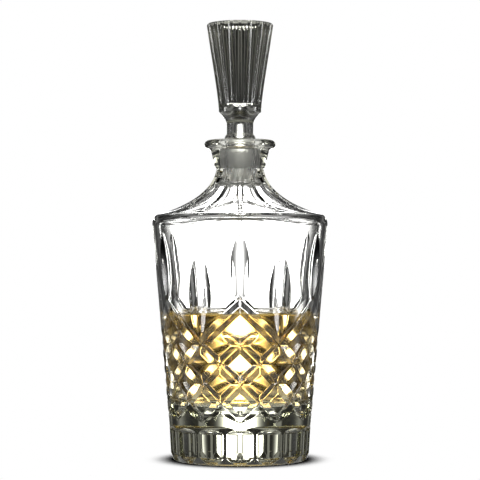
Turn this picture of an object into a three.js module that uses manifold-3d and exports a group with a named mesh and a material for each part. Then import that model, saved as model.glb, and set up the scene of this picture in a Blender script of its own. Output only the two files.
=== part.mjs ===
// Cut crystal decanter: a mould-blown vessel with wheel-cut decoration, its
// ground-in stopper, and the spirit that it holds. Millimetres, +Z up. The
// origin is the middle of the foot, on the surface that the decanter stands on.
// Azimuth 0 is the front, which faces -Y.

import * as THREE from 'three';
import { mergeVertices } from 'three/addons/utils/BufferGeometryUtils.js';
import Module from 'manifold-3d';

const wasm = await Module();
wasm.setup();

// ---- driving dimensions ----------------------------------------------------

const TURN = 2 * Math.PI;
const FACETS = 48;                 // sides of the vessel's turned surfaces
const STOPPER_FACETS = 40;         // two to each of the stopper's flutes

// Vessel, outside
const FOOT_RING = { inner: 35.5, outer: 41.2, hollow: 1.6, hollowRadius: 34 };
const FOOT_EDGE = { radius: 43.1, height: 4.4 };
const WALL_FOOT = { radius: 44.0, height: 20 };
const WALL_TOP = { radius: 54.9, height: 145.5 };
const SHOULDER_ROUND = [55.2, 150.9];                              // control of the curve over the wall's top
const SHOULDER_EDGE = { radius: 51.8, height: 152.3 };
const SHOULDER_SWEEP = [30, 158.2, 16.2, 169];                     // controls of its curve up to the neck
const NECK = { radius: 14.7, height: 180.8 };
const COLLAR = { lowRadius: 15.8, lowHeight: 182.2, highRadius: 18.3, highHeight: 192.6 };
const LIP = { radius: 22.3, low: 193.3, high: 198.8 };

// Vessel, inside
const FLOOR = { height: 35.5, radius: 34.5 };
const INSIDE_WALL = { lowRadius: 39.2, lowHeight: 41, highRadius: 51, highHeight: 145.2 };
const INSIDE_ROUND = [51.3, 149.2];                                // control of the curve over its top
const INSIDE_SHOULDER = { radius: 47.6, height: 150.2 };
const INSIDE_SWEEP = [19, 163.6, 32.2, 153.8];                     // controls of its curve down from the neck
const INSIDE_NECK = { radius: 15.4, height: 169 };
const BORE_FOOT = [7.25, 167.9, 13, 172];                          // controls of the curve round its foot
const BORE = { lowRadius: 7.25, lowHeight: 170.7, highRadius: 8.7, highHeight: 195.4, mouth: 10.4 };

// Cut decoration
const LEAF = { depth: 1.95, halfAngle: 75.2 };                      // half the angle of the V, degrees
const TALL_LEAVES = { low: 96.6, high: 141.2, first: 0 };
const LOW_LEAVES = { low: 74.4, high: 126.2, first: 30 };
const GROOVE = { depth: 1.9, halfAngle: 63, cutterHeight: 3.42 };
const LATTICE = { foot: 25.8, row: 11.7, step: 15 };               // a groove climbs one row in each step
const GROOVE_ROWS = { long: 6, short: 4, lead: 0.6 };              // the short ones start past the front line
const BASE_FLUTES = { count: 15, flat: 41.9, topFlat: 18.8, crown: 23, topRadius: 46, top: 23.6 };
const BASE_FLUTE_BAR = { outside: 48, under: -1, halfWidth: 10 };
const NECK_PANELS = { count: 12, highRadius: 14.2, high: 180.4, reach: 50.6, low: 152.7 };
const PANEL_BAR = { outside: 58, low: 154.8, halfWidth: 15 };
const PANEL_SWEEP = [15.3, 168, 29, 157.3];                        // controls of a panel's curve
const STAR = { points: 12, depth: 1.1, reach: 33, halfAngle: 62 };

// Stopper
const PLUG = { lowRadius: 6.8, low: 171.7, highRadius: 8.45, high: 195.6, edge: 0.9 };
const STOPPER_FLARE = { radius: 9.7, height: 199.9 };
const FLARE_ROUND = [9.7, 201.1];                                  // control of its curve up to the shaft
const SHAFT = { radius: 8.25, low: 202.6, high: 209.2 };
const FINIAL_ROUND = [8.85, 212.6];                                // control of the curve under the finial
const FINIAL_FOOT = { radius: 13.2, height: 216.2 };
const FINIAL_SWEEP = [13.4, 225.5, 17, 245];                       // controls of its side's curve
const FINIAL_TOP = { radius: 20.8, height: 270.8 };
const CROWN = { radius: 20, height: 271.7, dish: 1.3 };
const STOPPER_FLUTES = { count: 20, depth: 0.95, lowRadius: 13.6, low: 219.3, highRadius: 21.4, high: 276.8 };
const FLUTE_NOSE = { tip: -0.8, bulge: -0.7, side: 0.4 };          // heights, in shares of the cutter's radius

// Spirit
const SPIRIT = { level: 90.4, gap: 0.3 };

// ---- helpers ---------------------------------------------------------------

const radians = (degrees) => degrees * Math.PI / 180;

// Radius of the vessel's straight, tapering wall at a height.
function wallRadius(z) {
  const slope = (WALL_TOP.radius - WALL_FOOT.radius) / (WALL_TOP.height - WALL_FOOT.height);
  return WALL_FOOT.radius + slope * (z - WALL_FOOT.height);
}

// A turned solid: the outline runs in (radius, height), from axis to axis.
function turned(outline, facets, pointsPerCurve) {
  const geometry = new THREE.LatheGeometry(outline.getPoints(pointsPerCurve), facets);
  geometry.rotateX(Math.PI / 2);
  return solid(geometry);
}

function solid(geometry) {
  const plain = geometry.index ? geometry.toNonIndexed() : geometry.clone();
  for (const name of ['normal', 'uv']) plain.deleteAttribute(name);
  const merged = mergeVertices(plain, 1e-4);
  const mesh = new wasm.Mesh({
    numProp: 3,
    vertProperties: new Float32Array(merged.attributes.position.array),
    triVerts: new Uint32Array(merged.index.array),
  });
  const result = new wasm.Manifold(mesh);
  if (result.volume() < 0) throw new Error('a solid is inside out');
  return result;
}

function geometryOf(manifold) {
  const mesh = manifold.getMesh();
  const geometry = new THREE.BufferGeometry();
  geometry.setAttribute('position', new THREE.BufferAttribute(mesh.vertProperties, 3));
  geometry.setIndex(new THREE.BufferAttribute(mesh.triVerts, 1));
  return geometry;
}

function joined(solids) {
  return solids.reduce((whole, piece) => whole.add(piece));
}

// Turns a shape drawn for the front, with its outward side along -Y, to an azimuth.
function atAzimuth(geometry, degrees) {
  return geometry.clone().rotateZ(radians(degrees));
}

// A bar whose outline (outward distance, height) runs across the front, from side to side.
function frontBar(outline, halfWidth) {
  const bar = new THREE.ExtrudeGeometry(outline, {
    depth: 2 * halfWidth, bevelEnabled: false, curveSegments: 5,
  });
  bar.translate(0, 0, -halfWidth);
  bar.applyMatrix4(new THREE.Matrix4().makeBasis(
    new THREE.Vector3(0, -1, 0), new THREE.Vector3(0, 0, 1), new THREE.Vector3(-1, 0, 0)));
  return bar;
}

// ---- vessel ----------------------------------------------------------------

function vesselOutline() {
  const outline = new THREE.Path();
  outline.moveTo(0, FOOT_RING.hollow);
  outline.lineTo(FOOT_RING.hollowRadius, FOOT_RING.hollow);
  outline.lineTo(FOOT_RING.inner, 0);
  outline.lineTo(FOOT_RING.outer, 0);
  outline.lineTo(FOOT_EDGE.radius, FOOT_EDGE.height);
  outline.lineTo(WALL_FOOT.radius, WALL_FOOT.height);
  outline.lineTo(WALL_TOP.radius, WALL_TOP.height);
  outline.quadraticCurveTo(...SHOULDER_ROUND, SHOULDER_EDGE.radius, SHOULDER_EDGE.height);
  outline.bezierCurveTo(...SHOULDER_SWEEP, NECK.radius, NECK.height);
  outline.lineTo(COLLAR.lowRadius, COLLAR.lowHeight);
  outline.lineTo(COLLAR.highRadius, COLLAR.highHeight);
  const middle = (LIP.low + LIP.high) / 2;
  const round = (LIP.high - LIP.low) / 2;
  outline.lineTo(LIP.radius - round, LIP.low);
  outline.absarc(LIP.radius - round, middle, round, -Math.PI / 2, Math.PI / 2, false);
  outline.lineTo(BORE.mouth, LIP.high);
  outline.lineTo(BORE.highRadius, BORE.highHeight);
  outline.lineTo(BORE.lowRadius, BORE.lowHeight);
  insideBelowBore(outline);
  return outline;
}

// The cavity from the bead under the bore down to the middle of the floor.
function insideBelowBore(outline) {
  outline.bezierCurveTo(...BORE_FOOT, INSIDE_NECK.radius, INSIDE_NECK.height);
  outline.bezierCurveTo(...INSIDE_SWEEP, INSIDE_SHOULDER.radius, INSIDE_SHOULDER.height);
  outline.quadraticCurveTo(...INSIDE_ROUND, INSIDE_WALL.highRadius, INSIDE_WALL.highHeight);
  insideWallAndFloor(outline, 0);
}

// The cavity's wall and floor, moved inward by gap.
function insideWallAndFloor(outline, gap) {
  outline.lineTo(INSIDE_WALL.lowRadius - gap, INSIDE_WALL.lowHeight);
  outline.quadraticCurveTo(INSIDE_WALL.lowRadius - gap, FLOOR.height + gap,
    FLOOR.radius, FLOOR.height + gap);
  outline.lineTo(0, FLOOR.height + gap);
}

// A mitre wheel's cut: the disc's rim is a V, and its middle lies far outside the wall,
// so that the cut comes out as a pointed leaf with a straight valley.
function leafCutters(leaves) {
  const length = leaves.high - leaves.low;
  const middle = (leaves.high + leaves.low) / 2;
  const wheelRadius = length ** 2 / (8 * LEAF.depth);
  const side = 3 * LEAF.depth;
  const halfThickness = side * Math.tan(radians(LEAF.halfAngle));
  const rim = new THREE.Path();
  rim.moveTo(0, -halfThickness);
  rim.lineTo(wheelRadius - side, -halfThickness);
  rim.lineTo(wheelRadius, 0);
  rim.lineTo(wheelRadius - side, halfThickness);
  rim.lineTo(0, halfThickness);
  const wheel = new THREE.LatheGeometry(rim.getPoints(), 48);
  wheel.rotateZ(Math.PI / 2);
  const lean = Math.atan((WALL_TOP.radius - WALL_FOOT.radius) / (WALL_TOP.height - WALL_FOOT.height));
  wheel.translate(0, -wheelRadius, 0);
  wheel.rotateX(lean);
  wheel.translate(0, -(wallRadius(middle) - LEAF.depth), middle);
  const first = solid(wheel);
  return [0, 1, 2, 3, 4, 5].map((k) => first.rotate([0, 0, leaves.first + 60 * k]));
}

// A V groove that climbs the wall: a straight triangular bar bent on to the cone. Its
// lower end runs out to a point, and so does its upper end where sharpStart is true.
function grooveCutter(start, end, sharpStart) {
  const height = GROOVE.cutterHeight;
  const halfWidth = height * Math.tan(radians(GROOVE.halfAngle));
  const section = new THREE.Shape([
    new THREE.Vector2(0, 0),
    new THREE.Vector2(halfWidth, height),
    new THREE.Vector2(-halfWidth, height),
  ]);
  const steps = Math.round(Math.abs(end.azimuth - start.azimuth) / LATTICE.step);
  const bar = new THREE.ExtrudeGeometry(section, { steps, depth: 1, bevelEnabled: false });
  const position = bar.attributes.position;
  const runOut = 1 / steps;
  for (let i = 0; i < position.count; i += 1) {
    const along = position.getZ(i);
    const azimuth = radians(start.azimuth + along * (end.azimuth - start.azimuth));
    const z = start.z + along * (end.z - start.z);
    const lift = (sharpStart && along < runOut / 2) || along > 1 - runOut / 2 ? GROOVE.depth + 0.1 : 0;
    const radius = wallRadius(z) - GROOVE.depth + lift + position.getY(i);
    const rise = end.z - start.z;
    const run = radians(end.azimuth - start.azimuth) * wallRadius(z);
    const length = Math.hypot(rise, run);
    const across = position.getX(i);
    const turn = azimuth - (across * rise / length) / wallRadius(z);
    position.setXYZ(i, radius * Math.sin(turn), -radius * Math.cos(turn), z + across * run / length);
  }
  return solid(bar);
}

function latticeCutters() {
  const cutters = [];
  const heightAt = (row) => LATTICE.foot + LATTICE.row * row;
  for (let k = 0; k < 6; k += 1) {
    for (const side of [-1, 1]) {
      const front = 60 * k;
      cutters.push(grooveCutter(
        { azimuth: front, z: heightAt(GROOVE_ROWS.long) },
        { azimuth: front + side * GROOVE_ROWS.long * LATTICE.step, z: heightAt(0) }, false));
      const first = GROOVE_ROWS.short + GROOVE_ROWS.lead;
      cutters.push(grooveCutter(
        { azimuth: front - side * GROOVE_ROWS.lead * LATTICE.step, z: heightAt(first) },
        { azimuth: front + side * GROOVE_ROWS.short * LATTICE.step, z: heightAt(0) }, true));
    }
  }
  return cutters;
}

// A flat panel with a round upper end, ground into the heel of the vessel.
function baseFluteCutters() {
  const outline = new THREE.Shape();
  outline.moveTo(BASE_FLUTES.flat, BASE_FLUTE_BAR.under);
  outline.lineTo(BASE_FLUTES.flat, BASE_FLUTES.topFlat);
  outline.quadraticCurveTo(BASE_FLUTES.flat, BASE_FLUTES.crown, BASE_FLUTES.topRadius, BASE_FLUTES.top);
  outline.lineTo(BASE_FLUTE_BAR.outside, BASE_FLUTE_BAR.under);
  const bar = frontBar(outline, BASE_FLUTE_BAR.halfWidth);
  const pitch = 360 / BASE_FLUTES.count;
  return Array.from({ length: BASE_FLUTES.count }, (_, k) => solid(atAzimuth(bar, k * pitch)));
}

// A long panel from under the collar, down the neck and out over the shoulder.
function neckPanelCutters() {
  const outline = new THREE.Shape();
  outline.moveTo(NECK_PANELS.highRadius, NECK_PANELS.high);
  outline.bezierCurveTo(...PANEL_SWEEP, NECK_PANELS.reach, NECK_PANELS.low);
  outline.lineTo(PANEL_BAR.outside, PANEL_BAR.low);
  outline.lineTo(PANEL_BAR.outside, NECK_PANELS.high);
  const bar = frontBar(outline, PANEL_BAR.halfWidth);
  const pitch = 360 / NECK_PANELS.count;
  return Array.from({ length: NECK_PANELS.count }, (_, k) => solid(atAzimuth(bar, (k + 0.5) * pitch)));
}

// Mitre cuts that cross at the middle of the underside.
function starCutters() {
  const halfWidth = STAR.depth * Math.tan(radians(STAR.halfAngle));
  const section = new THREE.Shape([
    new THREE.Vector2(-halfWidth, 0),
    new THREE.Vector2(halfWidth, 0),
    new THREE.Vector2(0, STAR.depth),
  ]);
  const bar = new THREE.ExtrudeGeometry(section, { depth: 2 * STAR.reach, bevelEnabled: false });
  bar.translate(0, 0, -STAR.reach);
  bar.rotateX(Math.PI / 2);
  bar.translate(0, 0, FOOT_RING.hollow);
  return Array.from({ length: STAR.points / 2 }, (_, k) => solid(atAzimuth(bar, k * 360 / STAR.points)));
}

function vessel() {
  const cutters = [
    ...leafCutters(TALL_LEAVES), ...leafCutters(LOW_LEAVES), ...latticeCutters(),
    ...baseFluteCutters(), ...neckPanelCutters(), ...starCutters(),
  ];
  return turned(vesselOutline(), FACETS, 5).subtract(joined(cutters));
}

// ---- stopper ---------------------------------------------------------------

function stopperOutline() {
  const outline = new THREE.Path();
  outline.moveTo(0, PLUG.low);
  outline.lineTo(PLUG.lowRadius - PLUG.edge, PLUG.low);
  outline.lineTo(PLUG.lowRadius, PLUG.low + PLUG.edge);
  outline.lineTo(PLUG.highRadius, PLUG.high);
  outline.lineTo(STOPPER_FLARE.radius, STOPPER_FLARE.height);
  outline.quadraticCurveTo(...FLARE_ROUND, SHAFT.radius, SHAFT.low);
  outline.lineTo(SHAFT.radius, SHAFT.high);
  outline.quadraticCurveTo(...FINIAL_ROUND, FINIAL_FOOT.radius, FINIAL_FOOT.height);
  outline.bezierCurveTo(...FINIAL_SWEEP, FINIAL_TOP.radius, FINIAL_TOP.height);
  outline.lineTo(CROWN.radius, CROWN.height);
  outline.quadraticCurveTo(CROWN.radius / 2, CROWN.height - CROWN.dish, 0, CROWN.height - CROWN.dish);
  return outline;
}

// A tapered round cutter that leans with the finial's side and ends in a round nose.
function fluteCutter() {
  const pitch = TURN / STOPPER_FLUTES.count;
  const cutterRadius = (finialRadius) => (finialRadius * Math.sin(pitch / 2)) ** 2 / (2 * STOPPER_FLUTES.depth)
    + STOPPER_FLUTES.depth / 2;
  const low = cutterRadius(STOPPER_FLUTES.lowRadius);
  const high = cutterRadius(STOPPER_FLUTES.highRadius);
  const rise = STOPPER_FLUTES.high - STOPPER_FLUTES.low;
  const body = new THREE.Path();
  body.moveTo(0, low * FLUTE_NOSE.tip);
  body.quadraticCurveTo(low, low * FLUTE_NOSE.bulge, low, low * FLUTE_NOSE.side);
  body.lineTo(high, rise);
  body.lineTo(0, rise);
  const cutter = new THREE.LatheGeometry(body.getPoints(2), 12);
  cutter.rotateX(Math.PI / 2);
  const outLow = STOPPER_FLUTES.lowRadius - STOPPER_FLUTES.depth + low;
  const outHigh = STOPPER_FLUTES.highRadius - STOPPER_FLUTES.depth + high;
  cutter.rotateX(Math.atan((outHigh - outLow) / rise));
  cutter.translate(0, -outLow, STOPPER_FLUTES.low);
  return solid(cutter);
}

function stopper() {
  const first = fluteCutter();
  const pitch = 360 / STOPPER_FLUTES.count;
  const flutes = Array.from({ length: STOPPER_FLUTES.count },
    (_, k) => first.rotate([0, 0, (k + 0.5) * pitch]));
  return turned(stopperOutline(), STOPPER_FACETS, 4).subtract(joined(flutes));
}

// ---- spirit ----------------------------------------------------------------

function spirit() {
  const outline = new THREE.Path();
  const slope = (INSIDE_WALL.highRadius - INSIDE_WALL.lowRadius)
    / (INSIDE_WALL.highHeight - INSIDE_WALL.lowHeight);
  const radius = INSIDE_WALL.lowRadius + slope * (SPIRIT.level - INSIDE_WALL.lowHeight) - SPIRIT.gap;
  outline.moveTo(0, SPIRIT.level);
  outline.lineTo(radius, SPIRIT.level);
  insideWallAndFloor(outline, SPIRIT.gap);
  const geometry = new THREE.LatheGeometry(outline.getPoints(4).reverse(), FACETS);
  geometry.rotateX(Math.PI / 2);
  return solid(geometry);
}

// ---- assembly --------------------------------------------------------------

const clearCrystal = new THREE.MeshStandardMaterial({ color: 0xe6ebea, roughness: 0.03, metalness: 0 });
const smokedCrystal = new THREE.MeshStandardMaterial({ color: 0x8c8f8c, roughness: 0.04, metalness: 0 });
const amberSpirit = new THREE.MeshStandardMaterial({ color: 0xd9a544, roughness: 0.02, metalness: 0 });

function part(name, manifold, material) {
  const mesh = new THREE.Mesh(geometryOf(manifold), material);
  mesh.name = name;
  return mesh;
}

const decanter = new THREE.Group();
decanter.add(part('decanter_body', vessel(), clearCrystal));
decanter.add(part('stopper', stopper(), smokedCrystal));
decanter.add(part('spirit_fill', spirit(), amberSpirit));

export default decanter;
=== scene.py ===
"""Looks of the cut crystal decanter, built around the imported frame.

The vessel and the stopper are turned outlines with wheel cuts sunk into them. Each cut is a
formula for its depth below the turned surface. The mesh is split along every line where one
cut meets another, and again where the narrow rounded edge along that line begins, so that the
facets between keep their true surfaces. Lengths in the formulas are millimetres and angles are
degrees; meshes are in metres.
"""

import math

import bpy
import numpy as np
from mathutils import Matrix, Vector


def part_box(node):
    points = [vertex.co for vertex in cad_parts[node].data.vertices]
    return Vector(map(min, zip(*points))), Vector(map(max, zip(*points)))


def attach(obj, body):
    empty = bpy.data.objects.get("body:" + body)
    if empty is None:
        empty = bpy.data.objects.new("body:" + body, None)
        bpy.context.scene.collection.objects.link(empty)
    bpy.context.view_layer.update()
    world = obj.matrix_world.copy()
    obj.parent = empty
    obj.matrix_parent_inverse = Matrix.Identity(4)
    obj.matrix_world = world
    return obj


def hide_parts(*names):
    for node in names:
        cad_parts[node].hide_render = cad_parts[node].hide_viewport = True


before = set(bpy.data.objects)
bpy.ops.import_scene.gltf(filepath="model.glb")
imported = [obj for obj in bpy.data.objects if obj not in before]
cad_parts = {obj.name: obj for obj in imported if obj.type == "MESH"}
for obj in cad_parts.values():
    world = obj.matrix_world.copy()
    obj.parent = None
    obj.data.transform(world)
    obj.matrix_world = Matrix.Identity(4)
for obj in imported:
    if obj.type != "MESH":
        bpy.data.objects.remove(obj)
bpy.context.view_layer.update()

MM = 0.001

# ---- sizes taken from the frame ----------------------------------------------

vessel_high = np.array(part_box("decanter_body")[1]) / MM
stopper_low, stopper_high = (np.array(corner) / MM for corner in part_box("stopper"))
spirit_low, spirit_high = (np.array(corner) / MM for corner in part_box("spirit_fill"))

LIP_TOP = vessel_high[2]
WALL_TOP_RADIUS = vessel_high[0]
PLUG_END = stopper_low[2]
CROWN_HEIGHT = stopper_high[2]
FINIAL_RADIUS = stopper_high[0]
SPIRIT_LEVEL = spirit_high[2]
SPIRIT_GAP = 0.3                 # between the frame's spirit and the glass
FLOOR_HEIGHT = spirit_low[2] - SPIRIT_GAP

# ---- other sizes of the object -------------------------------------------------

FOOT_HOLLOW, FOOT_HOLLOW_RADIUS = 1.6, 34.0
FOOT_RING = (35.5, 41.2)
FOOT_EDGE = (43.1, 4.4)
WALL_FOOT = (44.0, 20.0)
WALL_TOP = (WALL_TOP_RADIUS, 145.5)
SHOULDER_ROUND = (WALL_TOP_RADIUS + 0.3, 150.9)               # control of the curve over the wall's top
SHOULDER_EDGE = (51.8, 152.3)
SHOULDER_SWEEP = ((30.0, 158.2), (16.2, 169.0))               # controls of its curve up to the neck
NECK = (14.7, 180.8)
COLLAR = ((15.8, 182.2), (18.3, 192.6))
LIP_RADIUS = 22.3
LIP_THICKNESS = 5.5
MOUTH_RADIUS = 10.4
BORE = ((8.7, LIP_TOP - 3.4), (7.25, 170.7))
BORE_FOOT = ((7.25, 167.9), (13.0, 172.0))                    # controls of the curve round its foot
INSIDE_NECK = (15.4, 169.0)
INSIDE_SWEEP = ((19.0, 163.6), (32.2, 153.8))                 # controls of its curve down from the neck
INSIDE_SHOULDER = (47.6, 150.2)
INSIDE_ROUND = (51.3, 149.2)                                  # control of the curve over the wall's top
INSIDE_WALL = ((51.0, 145.2), (39.2, 41.0))
FLOOR_FLAT_RADIUS = 34.5

LEAF_DEPTH, LEAF_HALF_ANGLE = 1.9, 79.2      # the angle is at the leaf's middle line
LEAF_BULGE = 0.023                           # how much steeper its sides grow toward its outline, per mm
TALL_LEAF = (96.6, 141.2)
LOW_LEAF = (74.4, 126.2)
GROOVE_DEPTH, GROOVE_HALF_ANGLE = 1.9, 63.0
LATTICE_FOOT, LATTICE_ROW, LATTICE_STEP = 25.8, 11.7, 15.0
GROOVE_RUN_OUT = 9.0                         # length over which a groove's end rises to the surface
LONG_ROWS, SHORT_ROWS = 6, 4                 # rows that the two kinds of groove climb
SHORT_PAST = 0.8                             # rows that a short one climbs on past a tall leaf's middle
BASE_FLUTES, BASE_FLUTE_DEPTH, BASE_FLUTE_SHARE = 15, 1.5, 0.88
BASE_FLUTE_TOP, BASE_CROWN_RADIUS = 18.8, 2.6
NECK_PANELS, PANEL_DEPTH, PANEL_REACH, PANEL_FOOT = 12, 1.2, 50.6, 149.0
RIB_CREST, RIB_SLOPE = 0.8, 34.0             # half the width of a rib's crest, and its flanks' slope
STAR_POINTS, STAR_DEPTH, STAR_REACH, STAR_HALF_ANGLE, STAR_SPAN = 12, 1.1, 33.0, 62.0, 60.0

PLUG, PLUG_EDGE = ((6.8, PLUG_END), (8.45, 195.6)), 0.9
FLARE = (9.7, 199.9)
FLARE_ROUND = (9.7, 201.1)                                    # control of its curve up to the shaft
SHAFT = ((8.25, 202.6), (8.25, 209.2))
FINIAL_ROUND = (8.85, 212.6)                                  # control of the curve under the finial
FINIAL_FOOT = (13.2, 216.2)
FINIAL_SWEEP = ((13.4, 225.5), (17.0, 245.0))                 # controls of its side's curve
CROWN_DISH = 1.3
CROWN_BEVEL = (0.8, 0.9)                                      # inward and down, round the crown's edge
FINIAL_TOP = (FINIAL_RADIUS, CROWN_HEIGHT - CROWN_BEVEL[1])
CROWN_RADIUS = FINIAL_RADIUS - CROWN_BEVEL[0]
STOPPER_FLUTES, FLUTE_DEPTH, FLUTE_LOW, FLUTE_NOSE = 20, 0.95, 221.0, 2.2
FLUTE_PAST = (1.5, 2.5)          # how far flutes are worked out past the finial's foot and crown's edge
FINIAL_SIDE_RADIUS = 10.0        # the finial's side is all wider than this
SIDE_RUN = 10.0                  # length over which the side's slope at its top is taken

MENISCUS_RISE, MENISCUS_WIDTH, MENISCUS_REACH = 2.0, 1.5, 12.0
RIDGE_ROUND, VALLEY_ROUND = 0.18, 0.5        # depth over which polished edges are rounded off
VESSEL_POLISH, STOPPER_POLISH, SPIRIT_POLISH = 0.22, 0.2, 0.15    # widths that soften outlines' corners

# ---- fineness of the meshes ----------------------------------------------------------

SECTOR = 120.0                   # degrees of the vessel and the spirit that are meshed and then repeated
PLAIN_ROW, WALL_ROW, NECK_ROW, STOPPER_ROW, SPIRIT_ROW = 7.0, 1.7, 2.5, 2.0, 4.0   # longest steps
VESSEL_COLUMNS, STOPPER_COLUMNS, SPIRIT_COLUMNS = 60, 10, 64                       # per sector


# ---- outlines ---------------------------------------------------------------------

def bezier(*controls, steps=40):
    """Points of a quadratic or cubic Bezier curve, without its first point."""
    points = []
    degree = len(controls) - 1
    for step in range(1, steps + 1):
        t = step / steps
        weights = [math.comb(degree, k) * t ** k * (1 - t) ** (degree - k) for k in range(degree + 1)]
        points.append(tuple(sum(w * c[axis] for w, c in zip(weights, controls)) for axis in (0, 1)))
    return points


def arc(centre, radius, start, end, steps=24):
    """Points of a circular arc, angles in degrees from the outward direction."""
    angles = np.radians(np.linspace(start, end, steps + 1))
    return [(centre[0] + radius * math.cos(a), centre[1] + radius * math.sin(a)) for a in angles]


def cavity_radius(z):
    """Radius of the cavity's straight, tapering wall at a height."""
    (high_radius, high), (low_radius, low) = INSIDE_WALL
    return low_radius + (high_radius - low_radius) * (z - low) / (high - low)


def inside_wall_and_floor(outset=0.0, floor_outset=0.0):
    """The cavity from its wall's foot to the middle of the floor, moved into the glass."""
    radius = INSIDE_WALL[1][0] + outset
    floor = FLOOR_HEIGHT - floor_outset
    foot = (radius, INSIDE_WALL[1][1])
    return [foot] + bezier(foot, (radius, floor), (FLOOR_FLAT_RADIUS, floor)) + [(0.0, floor)]


def vessel_outline():
    round_lip = LIP_THICKNESS / 2
    lip_centre = (LIP_RADIUS - round_lip, LIP_TOP - round_lip)
    points = [(0.0, FOOT_HOLLOW), (FOOT_HOLLOW_RADIUS, FOOT_HOLLOW), (FOOT_RING[0], 0.0)]
    points += [(FOOT_RING[1], 0.0), FOOT_EDGE, WALL_FOOT, WALL_TOP]
    points += bezier(WALL_TOP, SHOULDER_ROUND, SHOULDER_EDGE)
    points += bezier(SHOULDER_EDGE, *SHOULDER_SWEEP, NECK)
    points += [COLLAR[0], COLLAR[1], (lip_centre[0], LIP_TOP - LIP_THICKNESS)]
    points += arc(lip_centre, round_lip, -90, 90)
    points += [(MOUTH_RADIUS, LIP_TOP), BORE[0], BORE[1]]
    points += bezier(BORE[1], *BORE_FOOT, INSIDE_NECK)
    points += bezier(INSIDE_NECK, *INSIDE_SWEEP, INSIDE_SHOULDER)
    points += bezier(INSIDE_SHOULDER, INSIDE_ROUND, INSIDE_WALL[0])
    return points + inside_wall_and_floor()


def stopper_outline():
    plug_radius = PLUG[0][0]
    points = [(0.0, PLUG_END), (plug_radius - PLUG_EDGE, PLUG_END), (plug_radius, PLUG_END + PLUG_EDGE)]
    points += [PLUG[1], FLARE] + bezier(FLARE, FLARE_ROUND, SHAFT[0])
    points += [SHAFT[1]] + bezier(SHAFT[1], FINIAL_ROUND, FINIAL_FOOT)
    points += bezier(FINIAL_FOOT, *FINIAL_SWEEP, FINIAL_TOP)
    edge, middle = (CROWN_RADIUS, CROWN_HEIGHT), CROWN_HEIGHT - CROWN_DISH
    return points + [edge] + bezier(edge, (CROWN_RADIUS / 2, middle), (0.0, middle))


def spirit_outline(overlap=0.12):
    """The spirit, a hair wider than the cavity so that no air shows between it and the glass."""
    wall = cavity_radius(SPIRIT_LEVEL + MENISCUS_RISE) + overlap
    surface = []
    for distance in np.linspace(0.0, 1.0, 60) ** 2 * MENISCUS_REACH:
        rise = MENISCUS_RISE * math.exp(-distance / MENISCUS_WIDTH)
        surface.append((wall - distance, SPIRIT_LEVEL + rise))
    below = inside_wall_and_floor(overlap, overlap)
    return list(reversed(below)) + surface + [(0.0, SPIRIT_LEVEL)]


class Turned:
    """A turned surface: an outline walked from axis to axis with the solid on its left.

    The outline is resampled finely and its corners are softened a little, as polishing does.
    """

    fine = 0.05

    def __init__(self, outline, polish, longest):
        outline = np.array(outline)
        lengths = np.concatenate([[0.0], np.cumsum(np.hypot(*np.diff(outline, axis=0).T))])
        count = int(lengths[-1] / self.fine)
        walk = np.linspace(0.0, lengths[-1], count)
        r, z = (np.interp(walk, lengths, outline[:, axis]) for axis in (0, 1))
        reach = int(4 * polish / self.fine)
        window = np.exp(-0.5 * (np.arange(-reach, reach + 1) * self.fine / polish) ** 2)
        window /= window.sum()
        r = np.convolve(np.concatenate([-r[reach:0:-1], r, -r[-2:-reach - 2:-1]]), window, "valid")
        z = np.convolve(np.concatenate([z[reach:0:-1], z, z[-2:-reach - 2:-1]]), window, "valid")
        r[0] = r[-1] = 0.0
        self.t = np.concatenate([[0.0], np.cumsum(np.hypot(np.diff(r), np.diff(z)))])
        along_r, along_z = np.gradient(r, self.t), np.gradient(z, self.t)
        size = np.hypot(along_r, along_z)
        self.r, self.z = r, z
        self.nr, self.nz = along_z / size, -along_r / size
        self.longest = longest

    def at(self, t):
        return tuple(np.interp(t, self.t, values) for values in (self.r, self.z, self.nr, self.nz))

    def rows(self, sharpest=10.0):
        """Where the mesh's rows lie along the outline: close together where it bends."""
        turn = np.unwrap(np.arctan2(self.nz, self.nr))
        bend = np.abs(np.gradient(turn, self.t)) / math.radians(sharpest)
        density = np.maximum(bend, 1.0 / np.array([self.longest(r, z) for r, z in zip(self.r, self.z)]))
        walked = np.concatenate([[0.0], np.cumsum((density[1:] + density[:-1]) / 2 * np.diff(self.t))])
        count = int(math.ceil(walked[-1]))
        return np.interp(np.linspace(0.0, walked[-1], count + 1), walked, self.t)

    def where(self, radius, height):
        """The walk along the outline to its point nearest to a radius and height."""
        return self.t[np.argmin((self.r - radius) ** 2 + (self.z - height) ** 2)]


# ---- cuts ----------------------------------------------------------------------------
#
# A cut is a list of facets, and a facet is a function of (azimuth u, walk t, r, z, nr) that
# gives its depth below the turned surface. A cut's depth is its shallowest facet's, and the
# surface follows the deepest cut.

NOWHERE, FAR = -50.0, 10.0       # depths that stand for no cut, and for no edge near
ROUNDED = -2                     # stands for a facet's number on the rounded edges between facets
CUT_REACH, CUT_PAST = 12.0, 8.0  # how far beside a cut's line, and past its ends, it is worked out
NEIGHBOURS = 1.6                 # the same for panels and the stopper's flutes, in half pitches
LEAST_OUTWARD = 0.3              # keeps depths finite where a surface faces up or down


def around(u, centre):
    """Azimuth from a centre line, in degrees, between -180 and 180."""
    return (u - centre + 180.0) % 360.0 - 180.0


def between(t, low, high, depth):
    return np.where((t >= low) & (t <= high), depth, NOWHERE)


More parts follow.
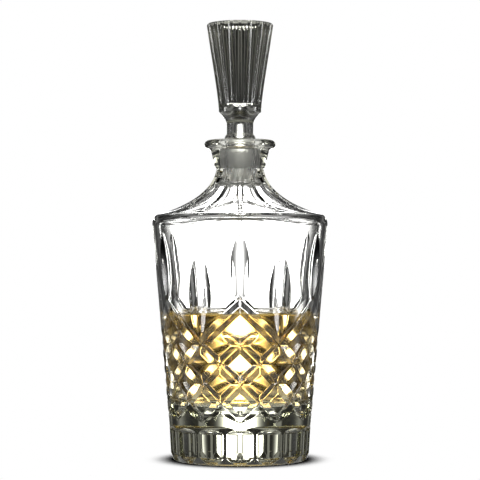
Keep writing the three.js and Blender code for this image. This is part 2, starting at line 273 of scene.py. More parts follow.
def leaf_cut(azimuth, low, high, zone):
    middle, length = (low + high) / 2, high - low
    wheel_radius = length ** 2 / (8 * LEAF_DEPTH)
    steep = math.tan(math.radians(LEAF_HALF_ANGLE))

    def facet(side):
        def depth(u, t, r, z, nr):
            across = np.radians(around(u, azimuth)) * r
            valley = LEAF_DEPTH - (z - middle) ** 2 / (2 * wheel_radius)
            curve = LEAF_BULGE / 2 + 1 / (2 * np.maximum(r, 1.0))
            sunk = valley - side * across / steep - across ** 2 * curve
            return between(t, *zone, np.where(np.abs(across) < CUT_REACH, sunk, NOWHERE))
        return depth
    return [facet(-1), facet(1)]


def groove_cut(start, end, zone, mitred):
    """A V groove from one (azimuth, height) down to another, where it runs out to a point.

    Its upper end is mitred against its mirror image, or runs out to a point too.
    """
    steep = math.tan(math.radians(GROOVE_HALF_ANGLE))
    turn, rise = end[0] - start[0], end[1] - start[1]

    def facet(side):
        def depth(u, t, r, z, nr):
            line = start[0] + turn * (z - start[1]) / rise
            run = np.radians(turn) * r
            length = np.hypot(run, rise)
            across = np.radians(around(u, line)) * r * abs(rise) / length
            along = (z - start[1]) / rise * length
            valley = GROOVE_DEPTH - np.zeros_like(z)
            for distance in (length - along,) if mitred else (along, length - along):
                left = np.maximum(1 - distance / GROOVE_RUN_OUT, 0.0)
                valley = valley - GROOVE_DEPTH * left ** 2
            sunk = valley - side * across / steep
            near = (np.abs(across) < CUT_REACH) & (along > -CUT_PAST) & (along < length + CUT_PAST)
            if mitred:
                near &= around(u, start[0]) * math.copysign(1, turn) >= 0
            return between(t, *zone, np.where(near, sunk, NOWHERE))
        return depth
    return [facet(-1), facet(1)]


def base_flute_cut(azimuth, zone):
    """A hollow flute up the foot, with an arched top, between narrow uncut bands."""
    half_width = BASE_FLUTE_SHARE * 180.0 / BASE_FLUTES
    slope = (WALL_FOOT[0] - FOOT_EDGE[0]) / (WALL_FOOT[1] - FOOT_EDGE[1])

    def depth(u, t, r, z, nr):
        turn = around(u, azimuth)
        wall = WALL_FOOT[0] + slope * (z - WALL_FOOT[1])
        over = np.maximum(z - BASE_FLUTE_TOP, 0.0) ** 2 / (2 * BASE_CROWN_RADIUS)
        hollow = BASE_FLUTE_DEPTH * (1 - (turn / half_width) ** 2)
        sunk = (r - wall + hollow - over) / np.maximum(nr, LEAST_OUTWARD)
        return between(t, *zone, np.where(np.abs(turn) < 2 * half_width, sunk, NOWHERE))
    return [depth]


def neck_panel_cut(azimuth, zone):
    """A flat panel down the neck and shoulder, with a flank up to the rib on each side."""
    half_pitch = 180.0 / NECK_PANELS
    steep = math.tan(math.radians(RIB_SLOPE))

    def floor(u, t, r, z, nr):
        turn = around(u, azimuth)
        middle = PANEL_DEPTH * (1 - (r / PANEL_REACH) ** 4)
        sunk = middle - nr * r * np.radians(turn) ** 2 / 2
        return between(t, *zone, np.where(np.abs(turn) < NEIGHBOURS * half_pitch, sunk, NOWHERE))

    def flank(side):
        def depth(u, t, r, z, nr):
            from_rib = np.radians(half_pitch - side * around(u, azimuth)) * r
            return between(t, *zone, (from_rib - RIB_CREST) * steep)
        return depth
    return [floor, flank(-1), flank(1)]


def star_cut(azimuth, zone):
    """Half of a mitre cut across the underside, from its middle out."""
    steep = math.tan(math.radians(STAR_HALF_ANGLE))

    def facet(side):
        def depth(u, t, r, z, nr):
            turn = np.radians(around(u, azimuth))
            valley = STAR_DEPTH * (1 - (r / STAR_REACH) ** 6)
            sunk = valley - side * r * np.sin(turn) / steep
            return between(t, *zone, np.where(np.abs(turn) < math.radians(STAR_SPAN), sunk, NOWHERE))
        return depth
    return [facet(-1), facet(1)]


def stopper_flute_cut(azimuth, zone, side_radius):
    half_pitch = 180.0 / STOPPER_FLUTES

    def depth(u, t, r, z, nr):
        turn = around(u, azimuth)
        under = np.maximum(FLUTE_LOW - z, 0.0)
        nose = under ** 2 / (2 * FLUTE_NOSE)
        inward = side_radius(z) - r
        hollow = FLUTE_DEPTH * (1 - (turn / half_pitch) ** 2)
        sunk = (hollow - nose - inward) / np.maximum(nr, LEAST_OUTWARD)
        return between(t, *zone, np.where(np.abs(turn) < NEIGHBOURS * half_pitch, sunk, NOWHERE))
    return [depth]


# ---- meshing ---------------------------------------------------------------------------

LEAST_SHARE = 0.04               # how near to a triangle's corner a new point may lie
HALVINGS = 14                    # steps of the search for a cut's edge
LEAST_AGREEMENT = 0.2            # least cosine between a facet's normal and the turned surface's
LABEL_STEP = 1000                # more than a mesh has facets


def edges_of(faces):
    """The triangles' edges, and for each triangle the number of the edge after each corner."""
    pairs = np.concatenate([faces[:, [0, 1]], faces[:, [1, 2]], faces[:, [2, 0]]])
    edges, back = np.unique(np.sort(pairs, axis=1), axis=0, return_inverse=True)
    return edges, back.reshape(3, -1).T


def part_way(values, a, b, share):
    return values[a] + (values[b] - values[a]) * share


def cut_corner(faces, lone, k, edge_of, on_edge):
    """The triangles that have one corner unlike the others, each as its tip and two that are left."""
    corner, after, before = (faces[lone, (k + step) % 3] for step in (0, 1, 2))
    out, back_in = on_edge[edge_of[lone, k]], on_edge[edge_of[lone, (k + 2) % 3]]
    tip, rest, other = (corner, out, back_in), (out, after, before), (out, before, back_in)
    return [np.stack(face, 1) for face in (tip, rest, other)]


class Relief:
    """Turns a turned surface and its cuts into a mesh split along the cuts' edges."""

    def __init__(self, turned, cuts, sector, columns):
        self.turned, self.cuts = turned, cuts
        self.facets = [facet for cut in cuts for facet in cut]
        self.sector, self.columns = sector, columns
        self.first = -sector / 2 + sector / columns / 2

    def measure(self, u, t):
        """What shows at each point: facet number (-1 where nothing is cut), polished depth, and
        how far outside the nearest rounded edge the point is, in that edge's widths."""
        r, z, nr, _ = self.turned.at(t)
        deepest, second = np.zeros_like(u), np.full(u.shape, NOWHERE)
        shown, fold = np.full(u.shape, -1), np.full(u.shape, FAR)
        number = 0
        for cut in self.cuts:
            depths = np.stack([facet(u, t, r, z, nr) for facet in cut])
            which = np.argmin(depths, axis=0)
            depth = depths.min(axis=0)
            gap = depths.max(axis=0) - depth if len(cut) > 1 else np.full(u.shape, FAR)
            wins = depth > deepest
            second = np.where(wins, deepest, np.maximum(second, depth))
            deepest = np.where(wins, depth, deepest)
            fold = np.where(wins, gap, fold)
            shown = np.where(wins, number + which, shown)
            number += len(cut)
        ridge = deepest - second
        round_in = np.maximum(1 - fold / VALLEY_ROUND, 0.0) ** 2 * VALLEY_ROUND / 4
        round_off = np.maximum(1 - ridge / RIDGE_ROUND, 0.0) ** 2 * RIDGE_ROUND / 4
        outside = np.minimum((fold - VALLEY_ROUND) / VALLEY_ROUND, (ridge - RIDGE_ROUND) / RIDGE_ROUND)
        return shown, deepest - round_in + round_off, outside

    def depth_of(self, label, u, t):
        r, z, nr, _ = self.turned.at(t)
        depth = np.zeros_like(u)
        for number in np.unique(label):
            if number == ROUNDED:
                pick = label == number
                depth[pick] = self.measure(u[pick], t[pick])[1]
            elif number >= 0:
                pick = label == number
                depth[pick] = self.facets[number](u[pick], t[pick], r[pick], z[pick], nr[pick])
        return depth

    def place(self, u, t, depth):
        r, z, nr, nz = self.turned.at(t)
        out, turn = r - nr * depth, np.radians(u)
        return np.stack([out * np.sin(turn), -out * np.cos(turn), z - nz * depth], axis=1)

    def normals(self, label, u, t):
        """The facet's own normal at each point, from its slopes both ways.

        Where that gives no direction, or one far off, it is the turned surface's normal.
        """
        small_u, small_t = 0.02, 0.01
        points = []
        for du, dt in ((small_u, 0), (-small_u, 0), (0, small_t), (0, -small_t)):
            moved = np.clip(t + dt, 0.0, self.turned.t[-1])
            points.append(self.place(u + du, moved, self.depth_of(label, u + du, moved)))
        normal = np.cross(points[0] - points[1], points[2] - points[3])
        size = np.linalg.norm(normal, axis=1)
        _, _, nr, nz = self.turned.at(t)
        turn = np.radians(u)
        plain = np.stack([nr * np.sin(turn), -nr * np.cos(turn), nz], axis=1)
        weak = size < 1e-9
        size[weak] = 1.0
        normal = normal / size[:, None]
        off = weak | (np.sum(normal * plain, axis=1) < LEAST_AGREEMENT)
        normal[off] = plain[off]
        return normal

    def crossing(self, ua, ta, ub, tb, label_a):
        """How far from a to b the facet at a stops showing."""
        low, high = np.zeros_like(ua), np.ones_like(ua)
        for _ in range(HALVINGS):
            middle = (low + high) / 2
            shown = self.measure(ua + (ub - ua) * middle, ta + (tb - ta) * middle)[0]
            same = shown == label_a
            low, high = np.where(same, middle, low), np.where(same, high, middle)
        return np.clip((low + high) / 2, LEAST_SHARE, 1 - LEAST_SHARE)

    def meeting(self, corners, labels, u, t):
        """Where three facets meet inside each triangle, as weights of its corners."""
        depth = np.empty((len(corners), 3, 3))
        for which in range(3):
            for corner in range(3):
                points = corners[:, corner]
                depth[:, which, corner] = self.depth_of(labels[:, which], u[points], t[points])
        ones = np.ones((len(corners), 3))
        rows = np.stack([depth[:, 0] - depth[:, 1], depth[:, 0] - depth[:, 2], ones], axis=1)
        weights = np.full((len(corners), 3), 1 / 3)
        for index, matrix in enumerate(rows):
            if abs(np.linalg.det(matrix)) > 1e-7:
                solved = np.linalg.solve(matrix, [0, 0, 1])
                if solved.min() > LEAST_SHARE:
                    weights[index] = solved
        return weights

    def grid(self):
        rows = self.turned.rows()
        columns = self.first + np.linspace(0.0, self.sector, self.columns + 1)
        t, u = np.meshgrid(rows, columns, indexing="ij")
        index = np.arange(t.size).reshape(t.shape)
        a, b, c, d = index[:-1, :-1], index[:-1, 1:], index[1:, 1:], index[1:, :-1]
        odd = (np.arange(a.shape[0])[:, None] + np.arange(a.shape[1])[None]) % 2 == 1
        first = np.where(odd[..., None], np.stack([a, b, c], -1), np.stack([a, b, d], -1))
        second = np.where(odd[..., None], np.stack([a, c, d], -1), np.stack([b, c, d], -1))
        return u.ravel(), t.ravel(), np.concatenate([first.reshape(-1, 3), second.reshape(-1, 3)])

    def split(self):
        """Points, faces and each face's facet, for one sector."""
        u, t, triangles = self.grid()
        shown = self.measure(u, t)[0]
        edges, edge_of = edges_of(triangles)
        crossed = shown[edges[:, 0]] != shown[edges[:, 1]]
        a, b = edges[crossed].T
        share = self.crossing(u[a], t[a], u[b], t[b], shown[a])
        on_edge = np.full(len(edges), -1)
        on_edge[crossed] = len(u) + np.arange(crossed.sum())
        new_u, new_t = part_way(u, a, b, share), part_way(t, a, b, share)

        labels = shown[triangles]
        same = [labels[:, k] == labels[:, (k + 1) % 3] for k in range(3)]
        whole = same[0] & same[1]
        three = ~(same[0] | same[1] | same[2])
        weights = self.meeting(triangles[three], labels[three], u, t)
        centre = len(u) + len(new_u) + np.arange(three.sum())
        centre_u = (weights * u[triangles[three]]).sum(1)
        centre_t = (weights * t[triangles[three]]).sum(1)

        faces, of = [triangles[whole]], [labels[whole, 0]]
        for k in range(3):
            lone = same[(k + 1) % 3] & ~whole
            faces += cut_corner(triangles, lone, k, edge_of, on_edge)
            of += [labels[lone, k], labels[lone, (k + 1) % 3], labels[lone, (k + 1) % 3]]
            corner = triangles[three, k]
            out, back_in = on_edge[edge_of[three, k]], on_edge[edge_of[three, (k + 2) % 3]]
            faces += [np.stack(face, 1) for face in ((corner, out, centre), (corner, centre, back_in))]
            of += [labels[three, k], labels[three, k]]
        u = np.concatenate([u, new_u, centre_u])
        t = np.concatenate([t, new_t, centre_t])
        return u, t, np.concatenate(faces), np.concatenate(of)

    def split_edges(self, u, t, faces, labels):
        """Splits the faces again where the rounded edges begin, and marks the rounded ones."""
        outside = self.measure(u, t)[2]
        rounded = outside < 0
        edges, edge_of = edges_of(faces)
        crossed = rounded[edges[:, 0]] != rounded[edges[:, 1]]
        a, b = edges[crossed].T
        share = outside[a] / (outside[a] - outside[b] + 1e-12)
        share = np.clip(share, LEAST_SHARE, 1 - LEAST_SHARE)
        on_edge = np.full(len(edges), -1)
        on_edge[crossed] = len(u) + np.arange(crossed.sum())
        new_u, new_t = part_way(u, a, b, share), part_way(t, a, b, share)

        inside = rounded[faces]
        whole = (inside.sum(1) == 0) | (inside.sum(1) == 3)
        out_faces = [faces[whole]]
        out_labels = [np.where(inside[whole, 0], ROUNDED, labels[whole])]
        for k in range(3):
            lone = (inside[:, k] != inside[:, (k + 1) % 3]) & (inside[:, k] != inside[:, (k + 2) % 3])
            out_faces += cut_corner(faces, lone, k, edge_of, on_edge)
            tip = np.where(inside[lone, k], ROUNDED, labels[lone])
            rest = np.where(inside[lone, k], labels[lone], ROUNDED)
            out_labels += [tip, rest, rest]
        u, t = np.concatenate([u, new_u]), np.concatenate([t, new_t])
        return u, t, np.concatenate(out_faces), np.concatenate(out_labels)

    def build(self, name):
        """The whole mesh: the sector is repeated round the axis and its edges are joined."""
        u, t, faces, labels = self.split_edges(*self.split())
        points = self.place(u, t, self.measure(u, t)[1])
        corner_keys = faces.ravel() * LABEL_STEP + np.repeat(labels, 3) - ROUNDED
        keys, back = np.unique(corner_keys, return_inverse=True)
        point = keys // LABEL_STEP
        normals = self.normals(keys % LABEL_STEP + ROUNDED, u[point], t[point])[back]

        left = np.flatnonzero(np.isclose(u, self.first))
        right = np.flatnonzero(np.isclose(u, self.first + self.sector))
        left, right = left[np.argsort(t[left])], right[np.argsort(t[right])]
        assert len(left) == len(right)
        poles = [np.flatnonzero(np.isclose(t, end)) for end in (0.0, self.turned.t[-1])]

        copies = round(360 / self.sector)
        count = len(u)
        all_points, all_faces, all_normals = [], [], []
        for copy in range(copies):
            angle = math.radians(copy * self.sector)
            cos, sin = math.cos(angle), math.sin(angle)
            spin = np.array([[cos, sin, 0], [-sin, cos, 0], [0, 0, 1]])
            all_points.append(points @ spin)
            all_faces.append(faces + copy * count)
            all_normals.append(normals @ spin)
        joined = np.arange(count * copies)
        for copy in range(copies):
            joined[right + copy * count] = left + (copy + 1) % copies * count
            for pole in poles:
                joined[pole + copy * count] = pole[0]
        all_faces = joined[np.concatenate(all_faces)]
        all_normals = np.concatenate(all_normals).reshape(-1, 3, 3)
        real = (all_faces[:, 0] != all_faces[:, 1]) & (all_faces[:, 1] != all_faces[:, 2])
        real &= all_faces[:, 2] != all_faces[:, 0]
        all_faces, all_normals = all_faces[real], all_normals[real]
        used, all_faces = np.unique(all_faces, return_inverse=True)
        all_points = np.concatenate(all_points)[used] * MM

        mesh = bpy.data.meshes.new(name)
        mesh.from_pydata(all_points.tolist(), [], all_faces.reshape(-1, 3).tolist())
        mesh.polygons.foreach_set("use_smooth", np.ones(len(mesh.polygons), dtype=bool))
        mesh.normals_split_custom_set(all_normals.reshape(-1, 3).tolist())
        mesh.update()
        piece = bpy.data.objects.new(name, mesh)
        bpy.context.scene.collection.objects.link(piece)
        return piece


# ---- the pieces ---------------------------------------------------------------------------

def lattice_cuts(zone):
    def height(row):
        return LATTICE_FOOT + LATTICE_ROW * row

    cuts = []
    for front in range(0, 360, 60):
        for side in (-1, 1):
            long_foot = (front + side * LONG_ROWS * LATTICE_STEP, height(0))
            short_foot = (front + side * SHORT_ROWS * LATTICE_STEP, height(0))
            short_top = (front - side * SHORT_PAST * LATTICE_STEP, height(SHORT_ROWS + SHORT_PAST))
            cuts.append(groove_cut((front, height(LONG_ROWS)), long_foot, zone, True))
            cuts.append(groove_cut(short_top, short_foot, zone, False))
    return cuts


def make_vessel():
    def longest(r, z):
        on_cavity_wall = FLOOR_HEIGHT < z < INSIDE_WALL[0][1] and r < cavity_radius(z) + 1.0
        on_floor = abs(z - FLOOR_HEIGHT) < 0.5
        if on_cavity_wall or on_floor:
            return PLAIN_ROW
        return WALL_ROW if r > SHOULDER_EDGE[0] / 2 else NECK_ROW

    turned = Turned(vessel_outline(), VESSEL_POLISH, longest)
    wall = (turned.where(FOOT_RING[1], 0.0), turned.where(*SHOULDER_EDGE))
    neck = (turned.where(WALL_TOP[0], PANEL_FOOT), turned.where(*NECK))
    under = (0.0, turned.where(FOOT_HOLLOW_RADIUS, FOOT_HOLLOW))
    cuts = [star_cut(k * 360 / STAR_POINTS, under) for k in range(STAR_POINTS)]
    cuts += [base_flute_cut(k * 360 / BASE_FLUTES, wall) for k in range(BASE_FLUTES)]
    cuts += lattice_cuts(wall)
    cuts += [leaf_cut(60 * k, *TALL_LEAF, wall) for k in range(6)]
    cuts += [leaf_cut(30 + 60 * k, *LOW_LEAF, wall) for k in range(6)]
    cuts += [neck_panel_cut((k + 0.5) * 360 / NECK_PANELS, neck) for k in range(NECK_PANELS)]
    return Relief(turned, cuts, SECTOR, VESSEL_COLUMNS).build("cut_vessel")


def make_stopper():
    turned = Turned(stopper_outline(), STOPPER_POLISH, lambda r, z: STOPPER_ROW)
    low, high = FINIAL_FOOT[1] - 2, FINIAL_TOP[1] - 1
    on_side = (turned.z > low) & (turned.z < high) & (turned.r > FINIAL_SIDE_RADIUS)
    side_r, side_z = turned.r[on_side], turned.z[on_side]
    back = -int(SIDE_RUN / turned.fine)
    slope = (side_r[-1] - side_r[back]) / (side_z[-1] - side_z[back])

    def side_radius(z):
        return np.interp(z, side_z, side_r) + slope * np.maximum(z - side_z[-1], 0.0)

    zone_foot = turned.where(FINIAL_FOOT[0], FINIAL_FOOT[1] - FLUTE_PAST[0])
    zone = (zone_foot, turned.where(CROWN_RADIUS - FLUTE_PAST[1], CROWN_HEIGHT))
    pitch = 360 / STOPPER_FLUTES
    cuts = [stopper_flute_cut((k + 0.5) * pitch, zone, side_radius) for k in range(STOPPER_FLUTES)]
    return Relief(turned, cuts, pitch, STOPPER_COLUMNS).build("fluted_stopper")


def make_spirit():
    turned = Turned(spirit_outline(), SPIRIT_POLISH, lambda r, z: SPIRIT_ROW)
    return Relief(turned, [], SECTOR, SPIRIT_COLUMNS).build("spirit")


# ---- materials ---------------------------------------------------------------------------

CRYSTAL_IOR, SPIRIT_IOR = 1.52, 1.36
GROUND_ROUGHNESS = 0.38
GROUND_SPREAD = 1.15             # how fast a ground zone widens below its knee
GROUND_EDGE, SATIN_EDGE = 0.2, 0.5                           # half widths of the zones' soft edges
SATIN_ROUGHNESS = 0.2
# A ground zone is its radius, its low and high ends and its knee. The satin one is its two ends.
BORE_GROUND = (BORE[0][0] + 1.2, BORE[1][1] - 1.5, BORE[0][1], BORE[1][1] + 3.3)
PLUG_GROUND = (PLUG[1][0] + 1.0, PLUG_END - 1.0, PLUG[1][1], PLUG_END)
SHANK_SATIN = (FLARE[1] + 0.5, SHAFT[1][1] + 0.5)
WAVE_LENGTH, WAVE_HEIGHT = 12.0, 0.06
SPIRIT_BLUR = 0.11
SURFACE_RISE = (0.2, 0.3)        # upward part of the normal over which the spirit's surface begins
CLEAR_TINT, CLEAR_DENSITY = (0.94, 0.945, 0.76), 15.0
SMOKED_TINT, SMOKED_DENSITY = (0.4, 0.405, 0.27), 25.0
SPIRIT_TINT, SPIRIT_DENSITY = (0.94, 0.745, 0.12), 25.0


def new_material(name):
    material = bpy.data.materials.new(name)
    material.use_nodes = True
    nodes = material.node_tree.nodes
    shader = next(node for node in nodes if node.type == "BSDF_PRINCIPLED")
    output = next(node for node in nodes if node.type == "OUTPUT_MATERIAL")
    return material, shader, output


def math_node(tree, operation, *values, clamp=False):
    """A math node fed by sockets or numbers; gives its output socket."""
    node = tree.nodes.new("ShaderNodeMath")
    node.operation = operation
    node.use_clamp = clamp
    for socket, value in zip(node.inputs, values):
        if isinstance(value, (int, float)):
            socket.default_value = value
        else:
            tree.links.new(value, socket)
    return node.outputs[0]


def ramp(tree, value, low, high, least=0.0, most=1.0):
    """least at low and beyond it, most at high and beyond it, smooth between; low may be the greater."""
    node = tree.nodes.new("ShaderNodeMapRange")
    node.interpolation_type = "SMOOTHSTEP"
    tree.links.new(value, node.inputs["Value"])
    for name, number in (("From Min", low), ("From Max", high), ("To Min", least), ("To Max", most)):
        node.inputs[name].default_value = number
    return node.outputs["Result"]


def separate(tree, vector):
    """The three parts of a vector, as sockets."""
    node = tree.nodes.new("ShaderNodeSeparateXYZ")
    tree.links.new(vector, node.inputs[0])
    return node.outputs


def absorb(tree, output, tint, density):
    """Fills the material with a medium that takes light out along the way."""
    volume = tree.nodes.new("ShaderNodeVolumeAbsorption")
    volume.inputs["Color"].default_value = (*tint, 1)
    volume.inputs["Density"].default_value = density
    tree.links.new(volume.outputs[0], output.inputs["Volume"])


def band(tree, value, low, high, edge):
    """1 between low and high and 0 beyond, with edges that reach this far both ways."""
    above = ramp(tree, value, low - edge, low + edge)
    return math_node(tree, "MULTIPLY", above, ramp(tree, value, high + edge, high - edge))


def place_in_piece(tree):
    """Radius and height, in metres, of the shaded point on a turned piece."""
    place = tree.nodes.new("ShaderNodeTexCoord").outputs["Object"]
    flat = tree.nodes.new("ShaderNodeVectorMath")
    flat.operation = "MULTIPLY"
    tree.links.new(place, flat.inputs[0])
    flat.inputs[1].default_value = (1, 1, 0)
    radius = tree.nodes.new("ShaderNodeVectorMath")
    radius.operation = "LENGTH"
    tree.links.new(flat.outputs[0], radius.inputs[0])
    return radius.outputs["Value"], separate(tree, place)["Z"]


def waves(tree, shader, length, height):
    """Faint waves, of a length and height in millimetres, that polishing leaves in a surface."""
    noise = tree.nodes.new("ShaderNodeTexNoise")
    noise.inputs["Scale"].default_value = 1 / (length * MM)
    noise.inputs["Detail"].default_value = 1.0
    tree.links.new(tree.nodes.new("ShaderNodeTexCoord").outputs["Object"], noise.inputs["Vector"])
    bump = tree.nodes.new("ShaderNodeBump")
    bump.inputs["Distance"].default_value = height * MM
    tree.links.new(noise.outputs["Fac"], bump.inputs["Height"])
    tree.links.new(bump.outputs["Normal"], shader.inputs["Normal"])


def crystal(name, tint, density, ground, satin=None):
    """Polished crystal with a ground (frosted) zone, given as (radius, low, high, knee).

    Below the knee the zone widens downward, round the foot of the bore. Between the two heights
    of satin, if given, the polish is softer. These lengths are millimetres.
    """
    material, shader, output = new_material(name)
    tree = material.node_tree
    shader.inputs["Base Color"].default_value = (1, 1, 1, 1)
    shader.inputs["IOR"].default_value = CRYSTAL_IOR
    shader.inputs["Transmission Weight"].default_value = 1.0
    radius, height = place_in_piece(tree)
    reach, low, high, knee = (length * MM for length in ground)
    edge = GROUND_EDGE * MM
    below = math_node(tree, "MAXIMUM", math_node(tree, "SUBTRACT", knee, height), 0.0)
    radius = math_node(tree, "MULTIPLY_ADD", below, -GROUND_SPREAD, radius)
    frost = band(tree, height, low, high, edge)
    frost = math_node(tree, "MULTIPLY", frost, ramp(tree, radius, reach + edge, reach - edge))
    roughness = math_node(tree, "MULTIPLY", frost, GROUND_ROUGHNESS)
    if satin:
        soft = band(tree, height, satin[0] * MM, satin[1] * MM, SATIN_EDGE * MM)
        soft = math_node(tree, "MULTIPLY", soft, SATIN_ROUGHNESS)
        roughness = math_node(tree, "MAXIMUM", roughness, soft)
    tree.links.new(roughness, shader.inputs["Roughness"])
    waves(tree, shader, WAVE_LENGTH, WAVE_HEIGHT)
    absorb(tree, output, tint, density)
    return material


def spirit_material():
    """Amber spirit: its wet sides blur what is behind it a little, its surface is clear."""
    material, shader, output = new_material("amber_spirit")
    tree = material.node_tree
    shader.inputs["Base Color"].default_value = (1, 1, 1, 1)
    shader.inputs["IOR"].default_value = SPIRIT_IOR
    shader.inputs["Transmission Weight"].default_value = 1.0
    up = separate(tree, tree.nodes.new("ShaderNodeNewGeometry").outputs["True Normal"])["Z"]
    tree.links.new(ramp(tree, up, *SURFACE_RISE, SPIRIT_BLUR, 0.0), shader.inputs["Roughness"])
    absorb(tree, output, SPIRIT_TINT, SPIRIT_DENSITY)
    return material


# ---- stage ---------------------------------------------------------------------------

LAMPS = 8                        # lit spots on the backdrop, evenly all round
LAMP_LIGHT = 16.0
WEAK_LAMP_SHARE = 0.02           # strength of every other lamp
SIDE_LAMP_SHARE = 0.8            # strength of the lamps at the sides
SIDE_LAMPS = (60.0, 75.0)        # degrees from the front or the back over which the sides begin
BACKDROP_LIGHT = 0.02            # the least light from anywhere
TABLE_LIGHT = 0.75
SOFTBOX_LIGHT = 0.4
DIM_LIGHT = 0.1                  # more light high on the backdrop, midway between the lamps
DIM_RISE = (8.0, 20.0)           # degrees from a lamp's azimuth over which it comes up
DIM_FOOT = (15.0, 12.0)          # elevation over which it ends downward
STRIP_LIGHT = 0.2
STRIP_WIDTH = (1.5, 3.5)         # upright strips midway between the lamps: full within, none beyond
STRIP_TOP = (45.0, 40.0)         # elevation over which they end upward
LAMP_HEIGHT = -1.5               # elevation of the lamps' middles, in degrees
LAMP_SPREAD = 5.8                # degrees beside a lamp's middle where its light has fallen to 37%
LAMP_SQUASH = 1.15               # how much faster it falls upwards and downwards than sideways
TABLE_EDGE = (-17.0, -26.0)      # elevation below which the table is bright all round
SOFTBOX_EDGE = (48.0, 54.0)      # elevation over which the softbox begins
SHADOW_REACH = 0.022             # metres from the object that the floor's painted contact shadow reaches
SHADOW_SHADE = (0.5, 0.93)       # openness of the floor's sky where the painted shadow is black and where the floor is white
FLOOR_REACH, FLOOR_DROP = 3.0, 0.0002    # metres from the middle, and below the object


def make_floor():
    mesh = bpy.data.meshes.new("floor")
    corners = [(x * FLOOR_REACH, y * FLOOR_REACH, 0) for x, y in ((-1, -1), (1, -1), (1, 1), (-1, 1))]
    mesh.from_pydata(corners, [], [(0, 1, 2, 3)])
    floor = bpy.data.objects.new("floor", mesh)
    bpy.context.scene.collection.objects.link(floor)
    floor.location.z = -FLOOR_DROP
    material, shader, output = new_material("floor_white_painted_shadow")
    tree = material.node_tree
    tree.nodes.remove(shader)
    # The floor glows white for the camera, with a painted contact shadow: the glow is darkened where
    # ambient occlusion finds the object near. Other rays pass through the floor.
    openness = tree.nodes.new("ShaderNodeAmbientOcclusion")
    openness.samples = 16
    openness.inputs["Distance"].default_value = SHADOW_REACH
    white = tree.nodes.new("ShaderNodeEmission")
    tree.links.new(ramp(tree, openness.outputs["AO"], *SHADOW_SHADE), white.inputs["Color"])
    direct = tree.nodes.new("ShaderNodeLightPath").outputs["Is Camera Ray"]
    mix = tree.nodes.new("ShaderNodeMixShader")
    tree.links.new(direct, mix.inputs["Fac"])
    tree.links.new(tree.nodes.new("ShaderNodeBsdfTransparent").outputs[0], mix.inputs[1])
    tree.links.new(white.outputs[0], mix.inputs[2])
    tree.links.new(mix.outputs[0], output.inputs["Surface"])
    mesh.materials.append(material)


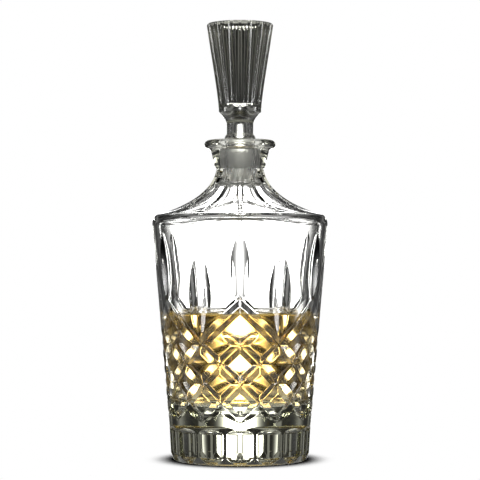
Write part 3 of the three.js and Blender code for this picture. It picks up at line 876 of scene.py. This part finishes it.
def make_world():
    """Bright-field studio: lamps on a dark backdrop level with the object, a bright table below,
    dim light in broad bands above and between the lamps, and a softbox overhead.

    The lamps stand all round, so that the object is lit much alike from every side. The camera
    itself sees plain white.
    """
    world = bpy.data.worlds.new("studio")
    bpy.context.scene.world = world
    world.use_nodes = True
    tree = world.node_tree
    direction = tree.nodes.new("ShaderNodeTexCoord").outputs["Generated"]
    x, y, z = separate(tree, direction)
    elevation = math_node(tree, "DEGREES", math_node(tree, "ARCSINE", z))
    azimuth = math_node(tree, "DEGREES", math_node(tree, "ARCTAN2", x, y))
    half_pitch = 180.0 / LAMPS
    sideways = math_node(tree, "PINGPONG", azimuth, half_pitch)
    upwards = math_node(tree, "SUBTRACT", elevation, LAMP_HEIGHT)
    squares = math_node(tree, "MULTIPLY", sideways, sideways)
    upwards = math_node(tree, "MULTIPLY", upwards, LAMP_SQUASH)
    squares = math_node(tree, "MULTIPLY_ADD", upwards, upwards, squares)
    fall = math_node(tree, "EXPONENT", math_node(tree, "MULTIPLY", squares, -1.0 / LAMP_SPREAD ** 2))
    every_other = math_node(tree, "PINGPONG", azimuth, 2 * half_pitch)
    weak_light = LAMP_LIGHT * WEAK_LAMP_SHARE
    strong = ramp(tree, every_other, half_pitch - 1, half_pitch + 1, LAMP_LIGHT, weak_light)
    lamp = math_node(tree, "MULTIPLY", fall, strong)
    aside = math_node(tree, "PINGPONG", azimuth, 90.0)
    lamp = math_node(tree, "MULTIPLY", lamp, ramp(tree, aside, *SIDE_LAMPS, 1.0, SIDE_LAMP_SHARE))
    dim = ramp(tree, sideways, *DIM_RISE, 0.0, DIM_LIGHT)
    dim = math_node(tree, "MULTIPLY", dim, ramp(tree, elevation, *DIM_FOOT, 1.0, 0.0))
    backdrop = math_node(tree, "ADD", dim, BACKDROP_LIGHT)
    table = ramp(tree, elevation, *TABLE_EDGE, 0.0, TABLE_LIGHT)
    softbox = ramp(tree, elevation, *SOFTBOX_EDGE, 0.0, SOFTBOX_LIGHT)
    from_strip = math_node(tree, "SUBTRACT", half_pitch, sideways)
    strip = ramp(tree, from_strip, *reversed(STRIP_WIDTH))
    strip = math_node(tree, "MULTIPLY", strip, ramp(tree, elevation, *STRIP_TOP, 0.0, STRIP_LIGHT))
    light = lamp
    for part in (backdrop, table, softbox, strip):
        light = math_node(tree, "ADD", light, part)
    direct = tree.nodes.new("ShaderNodeLightPath").outputs["Is Camera Ray"]
    seen = tree.nodes.new("ShaderNodeMix")
    tree.links.new(direct, seen.inputs["Factor"])
    tree.links.new(light, seen.inputs["A"])
    seen.inputs["B"].default_value = 1.0
    background = next(node for node in tree.nodes if node.type == "BACKGROUND")
    background.inputs["Color"].default_value = (1, 1, 1, 1)
    tree.links.new(seen.outputs["Result"], background.inputs["Strength"])


def make_camera():
    eye_height, distance, lens = 0.124, 1.12, 134.4
    tilt_up = math.radians(0.64)
    data = bpy.data.cameras.new("camera")
    data.lens = lens
    data.sensor_width = 36
    data.clip_start, data.clip_end = 0.05, 20
    camera = bpy.data.objects.new("camera", data)
    camera.location = (0, -distance, eye_height)
    camera.rotation_euler = (math.radians(90) + tilt_up, 0, 0)
    bpy.context.scene.collection.objects.link(camera)
    bpy.context.scene.camera = camera


make_camera()
make_floor()
make_world()

vessel = make_vessel()
vessel.data.materials.append(crystal("clear_crystal", CLEAR_TINT, CLEAR_DENSITY, BORE_GROUND))
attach(vessel, "decanter")
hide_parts("decanter_body")

stopper = make_stopper()
smoked = crystal("smoked_crystal", SMOKED_TINT, SMOKED_DENSITY, PLUG_GROUND, SHANK_SATIN)
stopper.data.materials.append(smoked)
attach(stopper, "stopper")
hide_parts("stopper")

spirit = make_spirit()
spirit.data.materials.append(spirit_material())
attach(spirit, "decanter")
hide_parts("spirit_fill")

scene = bpy.context.scene
scene.view_settings.view_transform = "Standard"
scene.cycles.max_bounces = scene.cycles.transmission_bounces = 32
